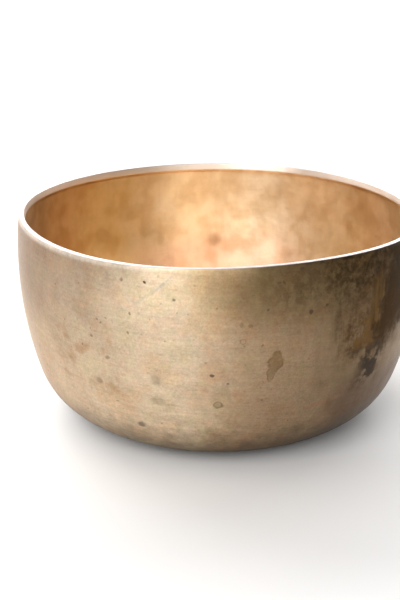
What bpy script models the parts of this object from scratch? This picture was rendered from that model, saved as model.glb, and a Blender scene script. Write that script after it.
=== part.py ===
"""Singing bowl: one shell of bell bronze, hammered to shape by hand and trimmed flat at the lip.

Metres, +Z up. The origin is the centre of the flat resting face under the bowl, and +Z runs
along the bowl's axis, out of its mouth.
"""

import math

import bmesh
import bpy

# Outside of the shell: a flat foot, a foot arc, a corner arc and one long side arc, each
# tangent to the next. The side leans in again above the belly, its widest place.
HEIGHT = 0.0925
MOUTH_RADIUS = 0.0888
BELLY_RADIUS = 0.0900
SIDE_ARC = 0.160
CORNER_ARC = 0.0325
FOOT_ARC = 0.060
CORNER_START = math.radians(18)  # how far below level the side arc gives way to the corner arc

# Wall and lip. The lip is thicker than the wall: a flat top, a steep bevel inside it, and a
# short run below the bevel where the inside falls back to the wall.
WALL = 0.0022
LIP_FLAT = 0.0023
LIP_WIDTH = 0.0028
BEVEL_DEPTH = 0.0028
FALL_BACK = 0.0020
EDGE_RADIUS = 0.0003

# What the hammer left: the lip isn't quite level and the mouth isn't quite round. Each row is
# a number of lobes, their height, and the direction of the first one in degrees from +X.
LEVEL_LOBES = ((1, 0.00025, 190), (2, 0.00018, 116), (3, 0.00040, 61), (4, 0.00013, 24))
ROUND_LOBES = ((2, 0.00016, 137), (3, 0.00033, 118), (4, 0.00039, 67))

SEGMENTS = 72
SIDE_STEPS = 7
CORNER_STEPS = 8
FOOT_STEPS = 3
EDGE_STEPS = 2
FALL_STEPS = 3
SAME_PLACE = 1e-6

# Centres of the three outside arcs, as (radius, height) about the bowl's axis. The foot arc
# touches the ground, which settles the angle where it takes over from the corner arc.
SIDE_X = BELLY_RADIUS - SIDE_ARC
SIDE_CENTRE = (SIDE_X, HEIGHT - math.sqrt(SIDE_ARC**2 - (MOUTH_RADIUS - SIDE_X) ** 2))
CORNER_CENTRE = (
    SIDE_CENTRE[0] + (SIDE_ARC - CORNER_ARC) * math.cos(CORNER_START),
    SIDE_CENTRE[1] - (SIDE_ARC - CORNER_ARC) * math.sin(CORNER_START),
)
FOOT_START = math.asin((FOOT_ARC - CORNER_CENTRE[1]) / (FOOT_ARC - CORNER_ARC))
FOOT_CENTRE = (CORNER_CENTRE[0] - (FOOT_ARC - CORNER_ARC) * math.cos(FOOT_START), FOOT_ARC)


def clear_scene():
    for old in list(bpy.data.objects):
        bpy.data.objects.remove(old, do_unlink=True)


def bell_bronze():
    material = bpy.data.materials.new("bell_bronze")
    material.use_nodes = True
    shader = material.node_tree.nodes["Principled BSDF"]
    shader.inputs["Base Color"].default_value = (0.62, 0.44, 0.26, 1.0)
    shader.inputs["Metallic"].default_value = 1.0
    shader.inputs["Roughness"].default_value = 0.38
    return material


def arc(centre, radius, start, end, steps):
    """Points from one angle to another, both measured up from the outward radius, ends included."""
    points = []
    for i in range(steps + 1):
        angle = start + (end - start) * i / steps
        points.append((centre[0] + radius * math.cos(angle), centre[1] + radius * math.sin(angle)))
    return points


def side_angle(radius, height):
    """The angle at which a circle of this radius about SIDE_CENTRE reaches this height."""
    return math.asin((height - SIDE_CENTRE[1]) / radius)


def shell_run(inset, top):
    """The side, corner and foot arcs, moved inwards by inset, from a height down to the axis."""
    side = SIDE_ARC - inset
    points = arc(SIDE_CENTRE, side, side_angle(side, top), -CORNER_START, SIDE_STEPS)
    points += arc(CORNER_CENTRE, CORNER_ARC - inset, -CORNER_START, -FOOT_START, CORNER_STEPS)[1:]
    points += arc(FOOT_CENTRE, FOOT_ARC - inset, -FOOT_START, -math.pi / 2, FOOT_STEPS)[1:]
    points.append((0.0, inset))
    return points


def lip_run():
    """Over the lip: round its outer edge, across the flat top, and down the bevel."""
    bevel_lean = math.atan2(LIP_WIDTH - LIP_FLAT, BEVEL_DEPTH)
    outer_edge = (MOUTH_RADIUS - EDGE_RADIUS, HEIGHT - EDGE_RADIUS)
    inner_edge = (MOUTH_RADIUS - LIP_FLAT + EDGE_RADIUS, HEIGHT - EDGE_RADIUS)
    points = arc(outer_edge, EDGE_RADIUS, 0.0, math.pi / 2, EDGE_STEPS)
    points += arc(inner_edge, EDGE_RADIUS, math.pi / 2, math.pi - bevel_lean, EDGE_STEPS)
    points.append((MOUTH_RADIUS - LIP_WIDTH, HEIGHT - BEVEL_DEPTH))
    return points


def fall_back_run():
    """The inside easing from the bottom of the bevel back to the plain wall, ends left out."""
    start = (MOUTH_RADIUS - LIP_WIDTH, HEIGHT - BEVEL_DEPTH)
    inner_side = SIDE_ARC - WALL
    end_radius = SIDE_X + inner_side * math.cos(side_angle(inner_side, start[1] - FALL_BACK))
    points = []
    for i in range(1, FALL_STEPS):
        part = i / FALL_STEPS
        ease = (1 - math.cos(math.pi * part)) / 2
        points.append((start[0] + (end_radius - start[0]) * ease, start[1] - FALL_BACK * part))
    return points


def profile():
    """The shell's section, from the middle of the foot, over the lip, to the inside's middle."""
    outside = shell_run(0.0, HEIGHT - EDGE_RADIUS)
    inside = shell_run(WALL, HEIGHT - BEVEL_DEPTH - FALL_BACK)
    return outside[:0:-1] + lip_run() + fall_back_run() + inside


def lobes(table, direction):
    total = 0.0
    for count, height, first in table:
        total += height * math.cos(count * (direction - math.radians(first)))
    return total


def hammer(point):
    """Moves a point of the turned shell to where the hammer left it, less and less further down."""
    share = max(0.0, min(1.0, point.z / HEIGHT))
    fade = share * share * (3 - 2 * share)
    direction = math.atan2(point.y, point.x)
    stretch = 1 + fade * lobes(ROUND_LOBES, direction) / MOUTH_RADIUS
    point.x *= stretch
    point.y *= stretch
    point.z += fade * lobes(LEVEL_LOBES, direction)


def bowl():
    shape = bmesh.new()
    corners = [shape.verts.new((radius, 0.0, height)) for radius, height in profile()]
    edges = [shape.edges.new(pair) for pair in zip(corners, corners[1:])]
    bmesh.ops.spin(
        shape,
        geom=corners + edges,
        axis=(0, 0, 1),
        cent=(0, 0, 0),
        angle=2 * math.pi,
        steps=SEGMENTS,
        use_merge=True,
    )
    bmesh.ops.remove_doubles(shape, verts=shape.verts, dist=SAME_PLACE)
    bmesh.ops.recalc_face_normals(shape, faces=shape.faces)
    for vertex in shape.verts:
        hammer(vertex.co)
    mesh = bpy.data.meshes.new("bowl")
    shape.to_mesh(mesh)
    shape.free()
    mesh.shade_smooth()
    mesh.set_sharp_from_angle(angle=math.radians(35))
    mesh.materials.append(bell_bronze())
    thing = bpy.data.objects.new("bowl", mesh)
    bpy.context.scene.collection.objects.link(thing)


clear_scene()
bowl()
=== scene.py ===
"""Singing bowl: the hammered bronze surface, a pale floor, soft light and the camera.

Metres, +Z up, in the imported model's frame: the origin is the centre of the resting face, +X is
to the viewer's right and -Y is towards the viewer. Directions round the bowl are in degrees
from +X, so the front is at -90 and the left is at 180, which is also -180.
"""

import math
import random
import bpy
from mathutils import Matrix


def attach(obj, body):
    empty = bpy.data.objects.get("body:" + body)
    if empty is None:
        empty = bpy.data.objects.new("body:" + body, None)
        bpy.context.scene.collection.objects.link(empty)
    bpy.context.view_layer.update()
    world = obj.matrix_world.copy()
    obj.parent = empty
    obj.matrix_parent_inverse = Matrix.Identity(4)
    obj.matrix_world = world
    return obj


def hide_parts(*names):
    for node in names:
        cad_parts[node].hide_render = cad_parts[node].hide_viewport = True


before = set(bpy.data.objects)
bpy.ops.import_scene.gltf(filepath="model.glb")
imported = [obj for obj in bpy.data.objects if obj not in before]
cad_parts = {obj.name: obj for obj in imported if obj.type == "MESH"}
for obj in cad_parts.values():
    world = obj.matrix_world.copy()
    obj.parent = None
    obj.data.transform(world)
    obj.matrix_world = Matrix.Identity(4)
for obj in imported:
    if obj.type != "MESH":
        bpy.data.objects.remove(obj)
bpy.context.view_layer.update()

from types import SimpleNamespace

import bpy
import numpy as np
from mathutils import Matrix, Vector

# ---------------------------------------------------------------------------------------------
# The shell's section, by the driving dimensions that the CAD node has
# ---------------------------------------------------------------------------------------------

HEIGHT = 0.0925
MOUTH_RADIUS = 0.0888
BELLY_RADIUS = 0.0900
SIDE_ARC = 0.160
CORNER_ARC = 0.0325
FOOT_ARC = 0.060
CORNER_START = math.radians(18)  # how far below level the side arc gives way to the corner arc
WALL = 0.0022
LIP_FLAT = 0.0023
LIP_WIDTH = 0.0028
BEVEL_DEPTH = 0.0028
FALL_BACK = 0.0020
EDGE_RADIUS = 0.0003
# rows: number of lobes, their height, direction of the first in degrees from +X
LEVEL_LOBES = ((1, 0.00025, 190), (2, 0.00018, 116), (3, 0.00040, 61), (4, 0.00013, 24))
ROUND_LOBES = ((2, 0.00016, 137), (3, 0.00033, 118), (4, 0.00039, 67))

SEGMENTS = 384
SIDE_STEPS = 42
CORNER_STEPS = 28
FOOT_STEPS = 12
FLAT_STEPS = 22
EDGE_STEPS = 5
LIP_STEPS = 6
BEVEL_STEPS = 5
FALL_STEPS = 6

SIDE_X = BELLY_RADIUS - SIDE_ARC
SIDE_CENTRE = (SIDE_X, HEIGHT - math.sqrt(SIDE_ARC**2 - (MOUTH_RADIUS - SIDE_X) ** 2))
CORNER_CENTRE = (
    SIDE_CENTRE[0] + (SIDE_ARC - CORNER_ARC) * math.cos(CORNER_START),
    SIDE_CENTRE[1] - (SIDE_ARC - CORNER_ARC) * math.sin(CORNER_START),
)
FOOT_START = math.asin((FOOT_ARC - CORNER_CENTRE[1]) / (FOOT_ARC - CORNER_ARC))
FOOT_CENTRE = (CORNER_CENTRE[0] - (FOOT_ARC - CORNER_ARC) * math.cos(FOOT_START), FOOT_ARC)


def arc(centre, radius, start, end, steps):
    """Points from one angle to another, both measured up from the outward radius, ends included."""
    angles = [start + (end - start) * i / steps for i in range(steps + 1)]
    return [(centre[0] + radius * math.cos(a), centre[1] + radius * math.sin(a)) for a in angles]


def line(start, end, steps):
    """Points along a straight stretch, without its start."""
    parts = [i / steps for i in range(1, steps + 1)]
    return [tuple(s + (e - s) * part for s, e in zip(start, end)) for part in parts]


def side_angle(radius, height):
    """The angle at which a circle of this radius about SIDE_CENTRE reaches this height."""
    return math.asin((height - SIDE_CENTRE[1]) / radius)


def shell_run(inset, top):
    """The side, corner and foot arcs, moved inwards by inset, from a height down to the axis."""
    side = SIDE_ARC - inset
    points = arc(SIDE_CENTRE, side, side_angle(side, top), -CORNER_START, SIDE_STEPS)
    points += arc(CORNER_CENTRE, CORNER_ARC - inset, -CORNER_START, -FOOT_START, CORNER_STEPS)[1:]
    points += arc(FOOT_CENTRE, FOOT_ARC - inset, -FOOT_START, -math.pi / 2, FOOT_STEPS)[1:]
    return points + line(points[-1], (0.0, inset), FLAT_STEPS)


def lip_run():
    """Over the lip: round its outer edge, across the flat top, and down the bevel."""
    lean = math.atan2(LIP_WIDTH - LIP_FLAT, BEVEL_DEPTH)
    outer_edge = (MOUTH_RADIUS - EDGE_RADIUS, HEIGHT - EDGE_RADIUS)
    inner_edge = (MOUTH_RADIUS - LIP_FLAT + EDGE_RADIUS, HEIGHT - EDGE_RADIUS)
    points = arc(outer_edge, EDGE_RADIUS, 0.0, math.pi / 2, EDGE_STEPS)
    points += line(points[-1], (inner_edge[0], HEIGHT), LIP_STEPS)
    points += arc(inner_edge, EDGE_RADIUS, math.pi / 2, math.pi - lean, EDGE_STEPS)[1:]
    bevel_end = (MOUTH_RADIUS - LIP_WIDTH, HEIGHT - BEVEL_DEPTH)
    return points + line(points[-1], bevel_end, BEVEL_STEPS)


def fall_back_run():
    """The inside easing from the bottom of the bevel back to the plain wall, ends left out."""
    start = (MOUTH_RADIUS - LIP_WIDTH, HEIGHT - BEVEL_DEPTH)
    inner_side = SIDE_ARC - WALL
    end_radius = SIDE_X + inner_side * math.cos(side_angle(inner_side, start[1] - FALL_BACK))
    points = []
    for i in range(1, FALL_STEPS):
        part = i / FALL_STEPS
        ease = (1 - math.cos(math.pi * part)) / 2
        points.append((start[0] + (end_radius - start[0]) * ease, start[1] - FALL_BACK * part))
    return points


def section():
    """The shell's section, from the middle of the foot, over the lip, to the inside's middle.

    Returns the points as (radius, height), and each point's run: its distance along the section
    from the lip's outer edge, negative outside and positive over the lip and inside.
    """
    outside = shell_run(0.0, HEIGHT - EDGE_RADIUS)[::-1]
    inside = shell_run(WALL, HEIGHT - BEVEL_DEPTH - FALL_BACK)
    points = np.array(outside + lip_run()[1:] + fall_back_run() + inside)
    steps = np.hypot(*np.diff(points, axis=0).T)
    run = np.concatenate([[0.0], np.cumsum(steps)])
    return points, run - run[len(outside) - 1]


# ---------------------------------------------------------------------------------------------
# The hammer's work
# ---------------------------------------------------------------------------------------------

# rows of blows on each side: how far apart the rows and the blows are, how wide and how deep a
# blow's dent is, and the stretch of the run that is hammered
BLOW_SEED = 41
OUTER_BLOWS = {"apart": 0.0085, "width": 0.0075, "depth": 0.00005, "run": (-0.118, -0.004)}
INNER_BLOWS = {"apart": 0.0105, "width": 0.0095, "depth": 0.00026, "run": (0.010, 0.166)}
# how far a blow strays from its even place, as a share of the distance between blows, and how
# much of its stray in height also goes outwards
STRAY_ROUND = 0.3
STRAY_DOWN = 0.25
STRAY_OUT = 0.3
# least and greatest, as shares of the row's width and of a full dent
BLOW_WIDTHS = (0.75, 1.3)
BLOW_FORCES = (0.35, 1.0)
# a middling dent, as a share of a full one: the metal is raised by as much before the blows press
# it in, so that the wall stays where it is on the whole
MIDDLING_DENT = 0.5


def lobes(table, direction):
    total = 0.0
    for count, height, first in table:
        total = total + height * np.cos(count * (direction - math.radians(first)))
    return total


def blow_places(points, run, blows, chance):
    """Centres of the dents, in rings down the section, each a little off its even place."""
    places = []
    first, last = blows["run"]
    rows = int((last - first) / blows["apart"])
    for row in range(rows + 1):
        at = first + row * blows["apart"]
        radius = np.interp(at, run, points[:, 0])
        height = np.interp(at, run, points[:, 1])
        count = max(1, round(2 * math.pi * radius / blows["apart"]))
        for i in range(count):
            stray = chance.uniform(-STRAY_ROUND, STRAY_ROUND)
            turn = 2 * math.pi * (i + 0.5 * (row % 2) + stray) / count
            off = chance.uniform(-STRAY_DOWN, STRAY_DOWN) * blows["apart"]
            out = radius + off * STRAY_OUT
            places.append((out * math.cos(turn), out * math.sin(turn), height + off))
    return places


def dents(spots, places, blows, chance):
    """How deep the blows have pressed each spot, as a share of a full dent."""
    depth = np.zeros(len(spots))
    for place in places:
        width = blows["width"] * chance.uniform(*BLOW_WIDTHS)
        force = chance.uniform(*BLOW_FORCES)
        near = np.nonzero(np.abs(spots - place).max(axis=1) < width)[0]
        share = 1 - ((spots[near] - place) ** 2).sum(axis=1) / width**2
        depth[near] += force * np.clip(share, 0, 1) ** 2
    return depth


def hammered(spots, normals, rings_run, points, run):
    """Presses each side's blows into the spots, along the surface's normals."""
    chance = random.Random(BLOW_SEED)
    moved = spots.copy()
    for blows in (OUTER_BLOWS, INNER_BLOWS):
        first, last = blows["run"]
        fade = np.clip(np.minimum(rings_run - first, last - rings_run) / blows["apart"], 0, 1)
        here = np.nonzero(fade > 0)[0]
        places = blow_places(points, run, blows, chance)
        pressed = dents(spots[here], places, blows, chance) * fade[here]
        moved[here] -= normals[here] * (blows["depth"] * (pressed - MIDDLING_DENT))[:, None]
    moved[:, 2] = np.maximum(moved[:, 2], 0.0)
    return moved


# ---------------------------------------------------------------------------------------------
# The mesh
# ---------------------------------------------------------------------------------------------


def turned(points):
    """Every ring's points round the axis, with the CAD node's hand-made unevenness."""
    direction = np.arange(SEGMENTS) * 2 * math.pi / SEGMENTS
    radius = np.repeat(points[:, :1], SEGMENTS, axis=1)
    height = np.repeat(points[:, 1:], SEGMENTS, axis=1)
    share = np.clip(height / HEIGHT, 0, 1)
    fade = share**2 * (3 - 2 * share)
    radius = radius * (1 + fade * lobes(ROUND_LOBES, direction) / MOUTH_RADIUS)
    height = height + fade * lobes(LEVEL_LOBES, direction)
    spots = np.stack([radius * np.cos(direction), radius * np.sin(direction), height], axis=-1)
    return spots.reshape(-1, 3)


def turned_normals(points):
    """The plain section's outward normals, turned round the axis."""
    slope = np.gradient(points, axis=0)
    out, up = slope[:, 1], -slope[:, 0]
    length = np.hypot(out, up)
    direction = np.arange(SEGMENTS) * 2 * math.pi / SEGMENTS
    out = np.repeat((out / length)[:, None], SEGMENTS, axis=1)
    up = np.repeat((up / length)[:, None], SEGMENTS, axis=1)
    normals = np.stack([out * np.cos(direction), out * np.sin(direction), up], axis=-1)
    return normals.reshape(-1, 3)


def ring_faces(rings):
    """Quads between neighbouring rings, and a fan at each end to the two middle points."""
    faces = []
    foot, floor = rings * SEGMENTS, rings * SEGMENTS + 1
    last = (rings - 1) * SEGMENTS
    for i in range(SEGMENTS):
        j = (i + 1) % SEGMENTS
        faces.append((foot, j, i))
        faces.append((floor, last + i, last + j))
        for here in range(0, last, SEGMENTS):
            faces.append((here + i, here + j, here + SEGMENTS + j, here + SEGMENTS + i))
    return faces


def bowl_mesh():
    """The hammered shell, with each point's run as an attribute for the material."""
    points, run = section()
    rings = points[1:-1]
    rings_run = np.repeat(run[1:-1], SEGMENTS)
    spots = hammered(turned(rings), turned_normals(rings), rings_run, points, run)
    ends = [(0.0, 0.0, points[0][1]), (0.0, 0.0, spots[-SEGMENTS:, 2].mean())]
    mesh = bpy.data.meshes.new("bowl_bronze")
    mesh.from_pydata(spots.tolist() + ends, [], ring_faces(len(rings)))
    distances = np.append(rings_run, [run[0], run[-1]])
    mesh.attributes.new("run", "FLOAT", "POINT").data.foreach_set("value", distances)
    mesh.shade_smooth()
    return mesh


# ---------------------------------------------------------------------------------------------
# Nodes
# ---------------------------------------------------------------------------------------------


class Nodes:
    """Short calls for building a node tree. A value is a number, a tuple or a node's output."""

    def __init__(self, tree):
        self.tree = tree

    def add(self, kind, inputs=None, **settings):
        made = self.tree.nodes.new(kind)
        for name, value in settings.items():
            setattr(made, name, value)
        for key, value in (inputs or {}).items():
            self.feed(made.inputs[key], value)
        return made

    def feed(self, socket, value):
        if isinstance(value, bpy.types.NodeSocket):
            self.tree.links.new(value, socket)
        elif socket.type == "RGBA":
            socket.default_value = (*value[:3], 1.0)
        else:
            socket.default_value = value

    def math(self, operation, *values, clamp=False):
        inputs = dict(enumerate(values))
        return self.add("ShaderNodeMath", inputs, operation=operation, use_clamp=clamp).outputs[0]

    def vector(self, operation, *values):
        made = self.add("ShaderNodeVectorMath", dict(enumerate(values)), operation=operation)
        return made.outputs["Value" if operation in ("LENGTH", "DISTANCE") else "Vector"]

    def product(self, *values):
        result = values[0]
        for value in values[1:]:
            result = self.math("MULTIPLY", result, value)
        return result

    def most(self, values):
        result = values[0]
        for value in values[1:]:
            result = self.math("MAXIMUM", result, value)
        return result

    def about(self, value, *parts):
        """value plus each noise's distance from its middle, times the amount given with it."""
        for noise, amount in parts:
            value = self.math("MULTIPLY_ADD", self.math("SUBTRACT", noise, 0.5), amount, value)
        return value

    def ease(self, value, start, end, low=0.0, high=1.0):
        """low until value reaches start, high from end on, and an S-curve between them."""
        inputs = {"Value": value, 1: start, 2: end, 3: low, 4: high}
        made = self.add("ShaderNodeMapRange", inputs, interpolation_type="SMOOTHSTEP")
        return made.outputs["Result"]

    def band(self, value, middle, half, soft):
        """1 within half of middle, falling to 0 over soft more."""
        off = self.math("ABSOLUTE", self.math("SUBTRACT", value, middle))
        return self.ease(off, half + soft, half)

    def noise(self, place, size, detail, roughness):
        """Noise from 0 to 1 whose patches are about size across, in the unit of place."""
        inputs = {"Vector": place, "Scale": 1 / size, "Detail": detail, "Roughness": roughness}
        return self.add("ShaderNodeTexNoise", inputs).outputs["Fac"]

    def shaken(self, place, scale, detail, reach):
        """place, moved up to half of reach each way by a noise of this scale."""
        noise = self.add("ShaderNodeTexNoise", {"Vector": place, "Scale": scale, "Detail": detail})
        off = self.vector("SUBTRACT", noise.outputs["Color"], (0.5, 0.5, 0.5))
        return self.vector("MULTIPLY_ADD", off, (reach, reach, reach), place)

    def scale(self, colour, factor):
        inputs = {0: colour, "Scale": factor}
        return self.add("ShaderNodeVectorMath", inputs, operation="SCALE").outputs["Vector"]

    def mix(self, share, low, high, blend="MIX"):
        inputs = {0: share, 6: low, 7: high}
        made = self.add("ShaderNodeMix", inputs, data_type="RGBA", blend_type=blend)
        return made.outputs[2]

    def tint(self, share, colour, tint):
        """colour, multiplied by tint where share is 1."""
        return self.mix(share, colour, tint, "MULTIPLY")


# ---------------------------------------------------------------------------------------------
# Where the shaded point is, the noises there, and regions
# ---------------------------------------------------------------------------------------------

# The material works in millimetres and degrees. Below, a pair says where something starts and
# where it is full. The sides of a region are two such pairs of directions: where it comes in, and
# where it goes out again. Three numbers are the middle of a band, its half width and its soft
# edge. The limits of noises, which lie between 0 and 1 and mostly near 0.5, stand where they are
# used.
MM = 1000.0

# Soft noises: name, a shift that sets it apart from the others, the size of its patches, how
# many finer layers it has, and how strong they are.
NOISES = (
    ("big", (0, 0, 0), 24, 3.0, 0.5),
    ("middle", (0, 0, 0), 5.5, 3.0, 0.6),
    ("small", (0, 0, 0), 1.6, 3.0, 0.6),
    ("grain", (150, 90, 10), 0.75, 2.0, 0.6),
    ("hue", (300, 120, 40), 13, 3.0, 0.55),
    ("fleck", (70, 10, 220), 3.6, 3.0, 0.65),
    ("cloud", (40, 200, 90), 15, 2.5, 0.5),
)
# Noises drawn out into lines: name, how much they tilt, the scale along x, y and the run that
# draws them out, and then as above. The first two are scraping lines, which lie level and a
# little across each other, and the third runs down the wall.
LINES = (
    ("fine", 0.0, (0.03, 0.03, 1), 0.8, 3.0, 0.65),
    ("cross", 0.16, (0.05, 0.05, 1), 1.3, 2.0, 0.6),
    ("streaks", 0.0, (1, 1, 0.13), 4.2, 3.0, 0.6),
)
TURN_WOBBLE = 26  # degrees by which the big noise moves a region's sides
SHAKE = {"scale": 0.7, "detail": 2.0, "reach": 1.0}
RAGGED = {"scale": 0.32, "detail": 3.0, "reach": 1.6}


def surface_place(nodes):
    """Where the shaded point is, with the noises there.

    place, z, radius and run are in millimetres. turn and inner_turn are directions in degrees:
    turn is cut at the bowl's back and runs from -270 to 90, and inner_turn is cut at its left.
    The loose ones wander, so that a region's sides aren't straight.
    """
    coordinates = nodes.add("ShaderNodeTexCoord").outputs["Object"]
    place = nodes.vector("MULTIPLY", coordinates, (MM, MM, MM))
    x, y, z = nodes.add("ShaderNodeSeparateXYZ", {0: place}).outputs
    along = nodes.add("ShaderNodeAttribute", attribute_name="run").outputs["Fac"]
    run = nodes.math("MULTIPLY", along, MM)
    at = SimpleNamespace(place=place, z=z, run=run)
    for name, shift, size, detail, roughness in NOISES:
        shifted = nodes.vector("ADD", place, shift)
        setattr(at, name, nodes.noise(shifted, size, detail, roughness))
    for name, tilt, drawn_out, size, detail, roughness in LINES:
        tilted = nodes.math("MULTIPLY_ADD", x, tilt, run)
        unrolled = nodes.add("ShaderNodeCombineXYZ", {0: x, 1: y, 2: tilted}).outputs[0]
        lines = nodes.vector("MULTIPLY", unrolled, drawn_out)
        setattr(at, name, nodes.noise(lines, size, detail, roughness))
    from_front = nodes.math("DEGREES", nodes.math("ARCTAN2", x, nodes.math("MULTIPLY", y, -1)))
    at.turn = nodes.math("SUBTRACT", from_front, 90)
    at.inner_turn = nodes.math("DEGREES", nodes.math("ARCTAN2", y, x))
    at.loose_turn = nodes.about(at.turn, (at.big, TURN_WOBBLE))
    at.loose_inner_turn = nodes.about(at.inner_turn, (at.big, TURN_WOBBLE))
    at.radius = nodes.vector("LENGTH", nodes.vector("MULTIPLY", place, (1, 1, 0)))
    at.shaken = nodes.shaken(place, **SHAKE)
    at.ragged = nodes.shaken(place, **RAGGED)
    return at


def sector(nodes, coming, going, comes_in, goes_out):
    """1 well inside a region's two sides and 0 outside them.

    coming and going are the direction as each side takes it, which may be plain or loose.
    """
    return nodes.product(nodes.ease(coming, *comes_in), nodes.ease(going, *goes_out))


def noise_amounts(at, table):
    """The named noises, each with its amount, as Nodes.about takes them."""
    return [(getattr(at, name), amount) for name, amount in table.items()]


def toned(nodes, at, colour, tone):
    """colour, lightened and darkened by the named noises."""
    return nodes.scale(colour, nodes.about(1.0, *noise_amounts(at, tone)))


# ---------------------------------------------------------------------------------------------
# Marks placed one by one on the outside
# ---------------------------------------------------------------------------------------------

# Every row has its direction, height, half width, half height and tilt first.
# pits and specks: then how dark, and how soft the edge is as a share of the size
PITS = (
    (-108.0, 86.1, 0.62, 0.62, 0, 0.95, 0.60),
    (-114.2, 86.1, 0.75, 0.80, 0, 0.55, 1.00),
    (-100.6, 80.1, 0.60, 0.52, 0, 0.65, 0.90),
    (-112.0, 72.9, 0.60, 0.70, 0, 0.55, 0.60),
    (-112.7, 64.8, 0.45, 0.55, 0, 0.50, 0.60),
    (-120.5, 66.9, 0.60, 0.55, 0, 0.45, 0.70),
    (-123.7, 60.2, 0.70, 0.60, 0, 0.45, 0.70),
    (-103.0, 63.0, 0.50, 0.45, 0, 0.40, 0.60),
    (-77.5, 76.1, 0.65, 0.60, 0, 0.60, 0.60),
    (-61.7, 75.1, 0.70, 0.70, 0, 0.80, 0.50),
    (-66.2, 73.3, 1.00, 1.00, 0, 0.85, 0.60),
    (-91.3, 48.8, 0.95, 0.65, -20, 0.80, 0.50),
    (-87.2, 45.2, 0.60, 0.50, 0, 0.60, 0.60),
    (-84.1, 70.6, 0.80, 0.90, 0, 0.30, 0.70),
    (-81.9, 70.0, 0.90, 0.80, 0, 0.30, 0.70),
    (-74.8, 86.4, 0.80, 0.60, 0, 0.55, 0.70),
    (-73.4, 86.3, 0.55, 0.80, 30, 0.60, 0.60),
    (-68.7, 91.2, 1.10, 0.90, 0, 0.75, 0.60),
    (-119.2, 52.0, 1.30, 0.80, 15, 0.45, 0.80),
    (-123.1, 39.9, 1.60, 1.40, 0, 0.40, 0.90),
    (-111.9, 22.0, 1.75, 1.40, 0, 0.65, 0.90),
    (-105.9, 45.3, 2.00, 2.40, 0, 0.28, 0.90),
    (-105.9, 35.3, 2.60, 2.00, 0, 0.30, 0.90),
    (-66.3, 84.5, 0.35, 6.80, 0, 0.45, 0.80),
    (-89.9, 35.1, 1.60, 1.60, 0, 0.30, 0.60),
    (-88.7, 34.9, 0.70, 1.20, 10, 0.40, 0.90),
)
# red-brown smears and pale scratches: then how strong, and how soft the edge is
SMEARS = ((-62.0, 30.4, 6.0, 0.9, 8, 0.45, 0.9), (-56.0, 31.2, 4.5, 0.8, 12, 0.40, 0.9))
SCRATCHES = (
    (-103.9, 85.2, 5.2, 0.60, 42, 0.50, 0.9),
    (-109.0, 79.0, 5.0, 0.55, 38, 0.38, 0.9),
)
# ring stains: then how strong
RINGS = ((-83.7, 63.5, 1.1, 1.1, 0, 0.40), (-89.8, 35.2, 1.6, 1.6, 0, 0.55))
# the lobes that make up the leaf-shaped stain: its stem, its blade and its tail
LEAF_LOBES = (
    (-74.9, 55.6, 2.2, 3.3, 4),
    (-75.2, 53.4, 3.5, 3.3, -20),
    (-76.0, 49.6, 1.8, 4.6, -12),
)

MARK_DEPTH = 1.4  # how far a mark reaches off the wall, so that it stays on its own side
UP_STEP = 1e-4  # metres between the two heights that give the wall's slope

# The leaf-shaped stain's value is LEAF_PEAK at the middle of a lobe and 1 less on its ellipse.
# These are its values from the edge to where it is full, and the rim's middle, half width and
# soft edge. The tail is paler up to the second of the two heights.
LEAF_PEAK = 2.0
LEAF_EDGE = (0.88, 1.14)
LEAF_RIM = (1.04, 0.04, 0.16)
TAIL_HEIGHTS = (46, 52)
# a ring's middle, half width and soft edge, as shares of its radius
RING_BAND = (0.95, 0.10, 0.25)

PIT_BROWN = (0.10, 0.07, 0.04)
RED_BROWN = (0.36, 0.18, 0.10)
GREY_SCRATCH = (0.37, 0.35, 0.30)
RING_TINT = (0.55, 0.46, 0.36)
LEAF_TINT = (0.66, 0.61, 0.51)
LEAF_RIM_TINT = (0.70, 0.64, 0.56)


def outer_radius(height):
    """The plain shell's radius at a height on its side or corner."""
    if height > CORNER_CENTRE[1] - CORNER_ARC * math.sin(CORNER_START):
        return SIDE_CENTRE[0] + math.sqrt(SIDE_ARC**2 - (height - SIDE_CENTRE[1]) ** 2)
    return CORNER_CENTRE[0] + math.sqrt(CORNER_ARC**2 - (height - CORNER_CENTRE[1]) ** 2)


def wall_place(direction, height):
    """A place on the outside, in millimetres, and the frame there: along, up the wall, out."""
    turn = math.radians(direction)
    radius, above = outer_radius(height / MM), outer_radius(height / MM + UP_STEP)
    round_wall = Vector((-math.sin(turn), math.cos(turn), 0))
    outward = Vector((math.cos(turn), math.sin(turn), 0))
    up_wall = (outward * (above - radius) + Vector((0, 0, UP_STEP))).normalized()
    place = (outward * radius + Vector((0, 0, height / MM))) * MM
    axes = Matrix((round_wall, up_wall, round_wall.cross(up_wall))).transposed()
    return place, axes


def off_spot(nodes, place, direction, height, half_width, half_height, tilt):
    """Distance from a place on the wall, which is 1 on an ellipse of these half sizes."""
    centre, axes = wall_place(direction, height)
    axes = axes @ Matrix.Rotation(math.radians(tilt), 3, "Z")
    inputs = {
        "Vector": place,
        "Location": tuple(centre),
        "Rotation": tuple(axes.to_euler()),
        "Scale": (half_width, half_height, MARK_DEPTH),
    }
    local = nodes.add("ShaderNodeMapping", inputs, vector_type="TEXTURE").outputs["Vector"]
    return nodes.vector("LENGTH", local)


def mark(nodes, place, direction, height, half_width, half_height, tilt, strength, soft):
    """A mark's strength at place: full inside an ellipse on the wall, 0 outside it."""
    off = off_spot(nodes, place, direction, height, half_width, half_height, tilt)
    return nodes.ease(off, 1 + soft / 2, 1 - soft / 2, 0.0, strength)


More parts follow.
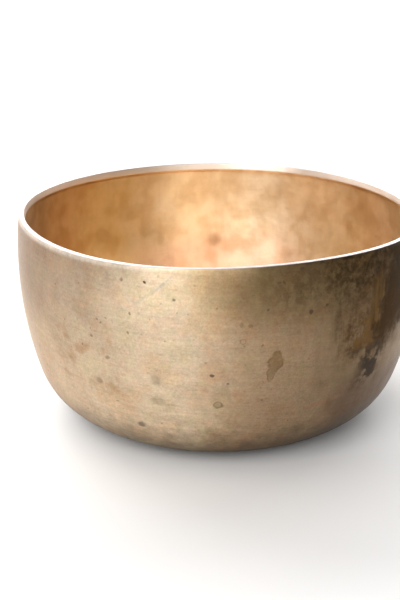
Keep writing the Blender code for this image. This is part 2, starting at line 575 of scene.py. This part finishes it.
def with_leaf_stain(nodes, at, colour):
    """The leaf-shaped stain: lobes run together, paler in the tail, with a darker rim."""
    offs = [off_spot(nodes, at.ragged, *lobe) for lobe in LEAF_LOBES]
    leaf = nodes.most([nodes.math("SUBTRACT", LEAF_PEAK, off) for off in offs])
    blotted = nodes.ease(at.small, 0.30, 0.56, 0.62, 1.0)
    pale_tail = nodes.ease(at.z, *TAIL_HEIGHTS, 0.6, 1.0)
    stain = nodes.product(nodes.ease(leaf, *LEAF_EDGE), blotted, pale_tail)
    colour = nodes.tint(stain, colour, LEAF_TINT)
    rim = nodes.product(nodes.band(leaf, *LEAF_RIM), nodes.ease(at.small, 0.40, 0.60), 0.8)
    return nodes.tint(rim, colour, LEAF_RIM_TINT)


def with_small_marks(nodes, at, colour):
    """The ring stains, smears and scratches."""
    for *spot, strength in RINGS:
        ring = nodes.band(off_spot(nodes, at.shaken, *spot), *RING_BAND)
        colour = nodes.tint(nodes.product(ring, strength), colour, RING_TINT)
    for smear in SMEARS:
        colour = nodes.mix(mark(nodes, at.shaken, *smear), colour, RED_BROWN)
    for scratch in SCRATCHES:
        broken = nodes.product(mark(nodes, at.shaken, *scratch), nodes.ease(at.small, 0.32, 0.52))
        colour = nodes.mix(broken, colour, GREY_SCRATCH)
    return colour


# ---------------------------------------------------------------------------------------------
# The outside's bronze
# ---------------------------------------------------------------------------------------------

BROWN_BRONZE = (0.50, 0.355, 0.23)
# painted highlight: a paler bronze for the front-left band where the window light's reflection runs
# down the wall
HIGHLIGHT_BAND_BRONZE = (0.62, 0.49, 0.35)
# painted shade: a darker bronze over the right half, the side away from the strongest lights
RIGHT_SHADE_BRONZE = (0.31, 0.215, 0.132)
PALE_BAND_BRONZE = (0.80, 0.70, 0.60)
SOFT_BLOTCH_TINT = (0.68, 0.60, 0.52)
BACK_TINT = (0.66, 0.57, 0.48)

HIGHLIGHT_BAND_SIDES = ((-152, -124), (-82, -100))
RIGHT_SHADE_SIDES = ((-98, -62), (25, -10))
BACK_SIDES = ((-165, -200), (-5, 25))
SOFT_BLOTCH_TURN = (-127, 8, 7)
SOFT_BLOTCH_HEIGHT = (47, 8, 9)
PALE_BAND_SIDES = ((-98, -128), (-262, -235))
PALE_BAND_RUN = (-2.6, -0.2)

# tints by region: its sides, its heights and its colour. The olive is the bronze's own; the others
# are painted shade.
REGION_TINTS_AND_SHADE = (
    ((-104, -88), (-40, -60), (60, 84), (0.95, 0.94, 0.82)),  # olive under the lip
    ((-93, -78), (30, -10), (55, 92), (0.52, 0.50, 0.46)),  # painted shade, high towards the right
    ((-108, -130), (-240, -205), (42, 80), (0.66, 0.64, 0.64)),  # painted shade towards the left
    ((-66, -46), (40, 0), (48, 30), (0.56, 0.53, 0.54)),  # painted shade low on the right
)
# tints by noise: its name, its limits, the tint's greatest strength and its colour
CLOUD_TINTS = (
    ("hue", (0.45, 0.66), 0.8, (1.0, 0.92, 0.83)),
    ("hue", (0.52, 0.34), 0.7, (0.97, 0.98, 0.88)),
    ("fleck", (0.48, 0.64), 0.7, (1.0, 0.93, 0.91)),
    ("fleck", (0.50, 0.34), 0.7, (0.93, 0.97, 0.91)),
)
# painted shade: the dark band at the bottom, where the bowl meets the floor, in two steps: the
# heights and the colour of each
LOW_SHADE_TINTS = (((28, 2), (0.24, 0.22, 0.18)), ((13, 1), (0.70, 0.67, 0.55)))
LOW_SHADE_UNEVEN = {"middle": 10}  # millimetres by which the noise moves the band's edge

# how strongly each noise lightens and darkens the outside
OUTSIDE_TONE = {
    "big": 0.35,
    "middle": 0.45,
    "small": 0.42,
    "grain": 0.42,
    "fine": 0.30,
    "cross": 0.2,
}


def bare_outside(nodes, at):
    """The outside's bronze without marks, patina or mottling, with its painted highlight and
    painted shade.
    """
    ease, band, product = nodes.ease, nodes.band, nodes.product
    # painted highlight: the front-left band is paler where the window light's reflection falls
    highlight_band = sector(nodes, at.loose_turn, at.loose_turn, *HIGHLIGHT_BAND_SIDES)
    colour = nodes.mix(highlight_band, BROWN_BRONZE, HIGHLIGHT_BAND_BRONZE)
    # painted shade: the right half is darkened as the side away from the strongest lights
    right_shade = sector(nodes, at.loose_turn, at.loose_turn, *RIGHT_SHADE_SIDES)
    colour = nodes.mix(right_shade, colour, RIGHT_SHADE_BRONZE)
    # the olive tint is the bronze's own; the other tints paint shade on the left, high on the right
    # and low on the right
    for *sides, heights, tint in REGION_TINTS_AND_SHADE:
        here = sector(nodes, at.loose_turn, at.turn, *sides)
        colour = nodes.tint(product(here, ease(at.z, *heights)), colour, tint)
    for name, limits, strength, tint in CLOUD_TINTS:
        colour = nodes.tint(ease(getattr(at, name), *limits, 0.0, strength), colour, tint)
    # painted shade: darker towards the bottom, where the bowl stands on the floor
    low = nodes.about(at.z, *noise_amounts(at, LOW_SHADE_UNEVEN))
    for heights, tint in LOW_SHADE_TINTS:
        colour = nodes.tint(ease(low, *heights), colour, tint)

    # brown clouds round the back, and soft brown blotches low on the left
    back = nodes.most([ease(at.turn, *side) for side in BACK_SIDES])
    colour = nodes.tint(product(back, ease(at.big, 0.46, 0.66), 0.8), colour, BACK_TINT)
    left = product(band(at.turn, *SOFT_BLOTCH_TURN), band(at.z, *SOFT_BLOTCH_HEIGHT))
    blotches = product(left, ease(at.hue, 0.34, 0.66), ease(at.middle, 0.28, 0.66))
    return nodes.tint(blotches, colour, SOFT_BLOTCH_TINT)


def with_pale_band(nodes, at, colour):
    """A pale band just under the lip on the left."""
    left = sector(nodes, at.loose_turn, at.turn, *PALE_BAND_SIDES)
    return nodes.mix(nodes.product(left, nodes.ease(at.run, *PALE_BAND_RUN), 0.7), colour, PALE_BAND_BRONZE)


# ---------------------------------------------------------------------------------------------
# The oxide skin on the right
# ---------------------------------------------------------------------------------------------

PATINA_BROWN = (0.075, 0.041, 0.016)
PATINA_DEEP = (0.046, 0.022, 0.005)
PATINA_BLACK = (0.034, 0.020, 0.008)
PATINA_AMBER = (0.130, 0.068, 0.020)
PATINA_BLOTCH = (0.040, 0.030, 0.022)
SKIN_METAL = 0.35  # how metallic the oxide skin is
SKIN_CLIMB = 0.7  # millimetres by which its lower edge climbs for each degree towards the back
SKIN_RAGGED = {"big": 34, "middle": 14}  # millimetres by which the noises move that edge
STREAKED = {"streaks": 6, "middle": 12}  # degrees by which the noises move its sides

SKIN_STARTS = (-70, -45)
SKIN_ENDS = (40, -8)
SKIN_HEIGHTS = (58, 90)
DEEP_STARTS = (-47, -38)
DEEP_HEIGHTS = (72, 94)
NEAR_LIP_STARTS = (-86, -52)
NEAR_LIP_HEIGHTS = (62, 86)
AMBER_TURN = (-45, 1.2, 2.2)
AMBER_HEIGHT = (64, 9, 14)
BLACK_BLOTCH_TURN = (-44, 3.0, 6)
BLACK_BLOTCH_HEIGHT = (43, 5, 8)


def with_patina(nodes, at, colour):
    """The dark, streaked oxide skin. Returns the colour, and how much skin there is."""
    ease, band, mix, product = nodes.ease, nodes.band, nodes.mix, nodes.product
    streaked = nodes.about(at.loose_turn, *noise_amounts(at, STREAKED))
    ends = ease(at.loose_turn, *SKIN_ENDS)
    # the lower edge climbs towards the back, and is ragged
    climbing = nodes.math("MULTIPLY_ADD", at.turn, -SKIN_CLIMB, at.z)
    climbing = nodes.about(climbing, *noise_amounts(at, SKIN_RAGGED))

    here = product(ease(streaked, *SKIN_STARTS), ends, ease(climbing, *SKIN_HEIGHTS))
    mottled = ease(at.small, 0.34, 0.62, 0.65, 1.0)
    brown = product(here, ease(at.middle, 0.30, 0.62, 0.75, 1.0), mottled)
    colour = mix(brown, colour, PATINA_BROWN)
    deep = product(ease(streaked, *DEEP_STARTS), ends, ease(climbing, *DEEP_HEIGHTS))
    colour = mix(deep, colour, PATINA_DEEP)
    near_lip = product(ease(at.loose_turn, *NEAR_LIP_STARTS), ends, ease(at.z, *NEAR_LIP_HEIGHTS))
    black = product(near_lip, ease(at.fleck, 0.34, 0.60), mottled)
    colour = mix(black, colour, PATINA_BLACK)
    amber = product(band(streaked, *AMBER_TURN), band(at.z, *AMBER_HEIGHT), mottled)
    colour = mix(product(amber, 0.85), colour, PATINA_AMBER)
    blotch = product(band(at.loose_turn, *BLACK_BLOTCH_TURN), band(at.z, *BLACK_BLOTCH_HEIGHT))
    blotch = product(blotch, ease(at.middle, 0.40, 0.56))
    colour = mix(product(blotch, 0.9), colour, PATINA_BLOTCH)
    colour = mix(product(here, ease(at.streaks, 0.46, 0.70), 0.5), colour, PATINA_BLACK)
    return colour, nodes.most((brown, deep, black, blotch))


# ---------------------------------------------------------------------------------------------
# Specks, the outside as a whole, and the inside
# ---------------------------------------------------------------------------------------------

SPECK_CELL = 3.6  # the size of the cells that have one speck each
SPECK_EDGE = (0.17, 0.08)  # a speck's outer edge and its full middle, as shares of a cell
SPECK_STRENGTH = 0.5
SPECK_CLUSTER_TURN = (-72, 7, 6)
SPECK_CLUSTER_HEIGHT = (84, 6, 6)

INSIDE_BRONZE = (0.93, 0.75, 0.53)
INSIDE_CLOUDS = (0.80, 0.60, 0.38)
STREAK_TINT = (0.86, 0.78, 0.70)
# painted shade on the inside's left and right, round the lit middle
INSIDE_LEFT_SHADE = (0.62, 0.58, 0.46)
INSIDE_RIGHT_SHADE = (0.80, 0.74, 0.62)
LOW_BACK_TINT = (0.92, 0.75, 0.76)
SMUDGE_TINT = (0.50, 0.38, 0.28)
SMUDGE_PLACE = (-1.5, 84.5, 52.0)
SMUDGE_RADII = (5.5, 2.0)
WALL_RADII = (30, 66)  # the inside's directions mean nothing at its middle, so tints fade there
LEFT_SIDES = ((100, 132), (179, 160))
LEFT_HEIGHTS = (36, 58)
RIGHT_SIDES = ((62, 36), (-20, 10))
LOW_BACK_TURN = (90, 12, 22)
LOW_BACK_HEIGHTS = (64, 44)
INSIDE_TONE = {"big": 0.20, "middle": 0.20, "small": 0.08, "fine": 0.07}


def specks(nodes, at):
    """Small dark specks, scattered unevenly, from 0 to SPECK_STRENGTH."""
    cells = nodes.add("ShaderNodeTexVoronoi", {"Vector": at.shaken, "Scale": 1 / SPECK_CELL})
    close = nodes.ease(cells.outputs["Distance"], *SPECK_EDGE)
    chance = nodes.add("ShaderNodeSeparateColor", {0: cells.outputs["Color"]}).outputs[0]
    crowded = nodes.ease(at.hue, 0.36, 0.62, 0.35, 1.0)
    cluster_side = nodes.band(at.turn, *SPECK_CLUSTER_TURN)
    cluster = nodes.product(cluster_side, nodes.band(at.z, *SPECK_CLUSTER_HEIGHT))
    dark = nodes.product(nodes.ease(chance, 0.25, 0.95), nodes.most((crowded, cluster)))
    return nodes.product(close, dark, SPECK_STRENGTH)


def outside_colour(nodes, at):
    """The outside's colour, how strong its pits are, and how much oxide skin there is."""
    colour = bare_outside(nodes, at)
    colour = with_leaf_stain(nodes, at, colour)
    colour = with_small_marks(nodes, at, colour)
    colour = with_pale_band(nodes, at, colour)
    colour, skin = with_patina(nodes, at, colour)
    colour = toned(nodes, at, colour, OUTSIDE_TONE)
    pits = nodes.most([mark(nodes, at.shaken, *pit) for pit in PITS])
    return nodes.mix(pits, colour, PIT_BROWN), pits, skin


def inside_colour(nodes, at):
    """A golden bronze with soft clouds, with painted shade on the left and the right, and darker
    low at the back.
    """
    ease, product, tint = nodes.ease, nodes.product, nodes.tint
    colour = nodes.mix(ease(at.cloud, 0.42, 0.62), INSIDE_BRONZE, INSIDE_CLOUDS)
    colour = tint(ease(at.streaks, 0.50, 0.70, 0.0, 0.2), colour, STREAK_TINT)
    on_wall = ease(at.radius, *WALL_RADII)
    # painted shade: the inside's left and right are darkened round the lit middle
    left = sector(nodes, at.loose_inner_turn, at.inner_turn, *LEFT_SIDES)
    left = product(left, on_wall, ease(at.z, *LEFT_HEIGHTS, 0.3, 1.0))
    colour = tint(left, colour, INSIDE_LEFT_SHADE)
    right = sector(nodes, at.loose_inner_turn, at.inner_turn, *RIGHT_SIDES)
    colour = tint(product(right, on_wall), colour, INSIDE_RIGHT_SHADE)
    back = nodes.band(at.loose_inner_turn, *LOW_BACK_TURN)
    colour = tint(product(back, ease(at.z, *LOW_BACK_HEIGHTS), on_wall), colour, LOW_BACK_TINT)
    off = nodes.vector("DISTANCE", at.shaken, SMUDGE_PLACE)
    colour = tint(ease(off, *SMUDGE_RADII, 0.0, 0.55), colour, SMUDGE_TINT)
    return toned(nodes, at, colour, INSIDE_TONE)


# ---------------------------------------------------------------------------------------------
# Bell bronze
# ---------------------------------------------------------------------------------------------

LIP_BRONZE = (0.52, 0.46, 0.44)
DULL_LIP = (0.34, 0.29, 0.275)
BEVEL_BRONZE = (0.92, 0.80, 0.70)
DULL_LIP_SIDES = ((-116, -146), (-205, -185))

# where one look gives way to the next, on the run
BELOW_LIP = (-0.6, -1.4)
LIP_STARTS = (0.05, 0.35)
BEVEL_STARTS = (2.2, 2.7)
INSIDE_STARTS = (4.8, 5.6)
ACROSS_LIP = (0.0, 6.0)

ANISOTROPY = 0.7
QUARTER_TURN = 0.25
OUTSIDE_ROUGHNESS = 0.46
INSIDE_ROUGHNESS = 0.40
UNEVEN_ROUGHNESS = {"middle": 0.5, "streaks": 0.25, "fine": 0.25}
FLAW_ROUGHNESS = 0.15
# heights of the relief: scraping lines, unevenness, and pits and specks
OUTSIDE_LINES = 0.035
INSIDE_LINES = 0.012
CROSS_LINES = 0.02
UNEVENNESS = 0.12
FLAW_HEIGHT = -0.12


def bell_bronze():
    """The one material: its look changes with the run, from the outside over the lip to inside."""
    material = bpy.data.materials.new("bell_bronze")
    material.use_nodes = True
    nodes = Nodes(material.node_tree)
    shader = material.node_tree.nodes["Principled BSDF"]
    shader.inputs["Specular IOR Level"].default_value = 0.0
    shader.inputs["Anisotropic"].default_value = ANISOTROPY
    shader.inputs["Anisotropic Rotation"].default_value = QUARTER_TURN
    at = surface_place(nodes)
    tangent = nodes.add("ShaderNodeTangent", direction_type="RADIAL", axis="Z").outputs["Tangent"]
    nodes.feed(shader.inputs["Tangent"], tangent)

    is_outside = nodes.ease(at.run, *BELOW_LIP)
    outside, pits, skin = outside_colour(nodes, at)
    dotted = nodes.product(specks(nodes, at), is_outside)
    outside = nodes.mix(dotted, outside, PIT_BROWN)
    lip = nodes.mix(sector(nodes, at.turn, at.turn, *DULL_LIP_SIDES), LIP_BRONZE, DULL_LIP)
    colour = nodes.mix(nodes.ease(at.run, *LIP_STARTS), outside, lip)
    colour = nodes.mix(nodes.ease(at.run, *BEVEL_STARTS), colour, BEVEL_BRONZE)
    colour = nodes.mix(nodes.ease(at.run, *INSIDE_STARTS), colour, inside_colour(nodes, at))
    nodes.feed(shader.inputs["Base Color"], colour)

    metal = nodes.ease(nodes.product(skin, is_outside), 0.0, 1.0, 1.0, SKIN_METAL)
    nodes.feed(shader.inputs["Metallic"], metal)
    flaws = nodes.product(nodes.most((pits, dotted)), is_outside)
    rough = nodes.about(1.0, *noise_amounts(at, UNEVEN_ROUGHNESS))
    on_side = nodes.ease(at.run, *ACROSS_LIP, OUTSIDE_ROUGHNESS, INSIDE_ROUGHNESS)
    rough = nodes.product(rough, on_side)
    rough = nodes.math("MULTIPLY_ADD", flaws, FLAW_ROUGHNESS, rough, clamp=True)
    nodes.feed(shader.inputs["Roughness"], rough)

    height = nodes.ease(at.run, *ACROSS_LIP, OUTSIDE_LINES, INSIDE_LINES)
    relief = nodes.about(1.0, (at.fine, height), (at.cross, CROSS_LINES), (at.middle, UNEVENNESS))
    relief = nodes.math("MULTIPLY_ADD", flaws, FLAW_HEIGHT, relief)
    inputs = {"Height": relief, "Strength": 1.0, "Distance": 1 / MM}
    bump = nodes.add("ShaderNodeBump", inputs)
    nodes.feed(shader.inputs["Normal"], bump.outputs["Normal"])
    return material


# ---------------------------------------------------------------------------------------------
# The piece
# ---------------------------------------------------------------------------------------------

bowl = bpy.data.objects.new("bowl_bronze", bowl_mesh())
bpy.context.scene.collection.objects.link(bowl)
bowl.data.materials.append(bell_bronze())
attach(bowl, "root")
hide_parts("bowl")

# ---------------------------------------------------------------------------------------------
# Floor, light and camera
# ---------------------------------------------------------------------------------------------

FLOOR_HALF = 8.0
FLOOR_COLOUR = (0.86, 0.85, 0.84, 1.0)
FLOOR_ROUGHNESS = 0.7

# the even light from all round, and how bright the backdrop looks to the camera
FILL_LIGHT = 0.30
BACKDROP = 1.0

# soft lights, all far off: name, direction in degrees from +X, elevation, strength, width
LIGHTS = (
    ("window", 243, 34, 1.75, 44),
    ("front", 288, 34, 0.50, 34),
    ("left", 176, 34, 0.90, 50),
    ("back_left", 126, 35, 2.10, 38),
    ("back", 88, 30, 0.60, 36),
    ("back_right", 54, 34, 0.75, 34),
    ("back_low", 92, 10, 0.95, 40),
)

CAMERA_LENS = 68.4
CAMERA_PLACE = (-0.0003, -0.494, 0.226)
CAMERA_DOWN = 19.77  # degrees below level
CAMERA_LEFT = 0.9  # degrees to the left of straight ahead


def pale_floor():
    """A large pale plane for the bowl to stand on."""
    corners = [(-FLOOR_HALF, -FLOOR_HALF, 0), (FLOOR_HALF, -FLOOR_HALF, 0)]
    corners += [(FLOOR_HALF, FLOOR_HALF, 0), (-FLOOR_HALF, FLOOR_HALF, 0)]
    mesh = bpy.data.meshes.new("floor")
    mesh.from_pydata(corners, [], [(0, 1, 2, 3)])
    material = bpy.data.materials.new("pale_floor")
    material.use_nodes = True
    shader = material.node_tree.nodes["Principled BSDF"]
    shader.inputs["Base Color"].default_value = FLOOR_COLOUR
    shader.inputs["Roughness"].default_value = FLOOR_ROUGHNESS
    mesh.materials.append(material)
    return bpy.data.objects.new("floor", mesh)


def light_world():
    """A white world that lights the bowl a little and is a bright backdrop to the camera."""
    world = bpy.data.worlds.new("studio")
    bpy.context.scene.world = world
    world.use_nodes = True
    nodes = Nodes(world.node_tree)
    seen = nodes.add("ShaderNodeLightPath").outputs["Is Camera Ray"]
    background = world.node_tree.nodes["Background"]
    background.inputs["Color"].default_value = (1, 1, 1, 1)
    nodes.feed(background.inputs["Strength"], nodes.ease(seen, 0.0, 1.0, FILL_LIGHT, BACKDROP))


def soft_light(name, direction, elevation, strength, width):
    """A far-off lamp, as wide in the sky as width says in degrees."""
    lamp = bpy.data.lights.new(name, "SUN")
    lamp.energy = strength
    lamp.angle = math.radians(width)
    light = bpy.data.objects.new(name, lamp)
    light.rotation_euler = (math.radians(90 - elevation), 0, math.radians(direction + 90))
    bpy.context.scene.collection.objects.link(light)


floor = pale_floor()
bpy.context.scene.collection.objects.link(floor)
light_world()
for row in LIGHTS:
    soft_light(*row)

camera = bpy.data.objects.new("camera", bpy.data.cameras.new("camera"))
bpy.context.scene.collection.objects.link(camera)
camera.data.lens = CAMERA_LENS
camera.location = CAMERA_PLACE
camera.rotation_euler = (math.radians(90 - CAMERA_DOWN), 0, math.radians(CAMERA_LEFT))
bpy.context.scene.camera = camera
bpy.context.scene.view_settings.view_transform = "Standard"
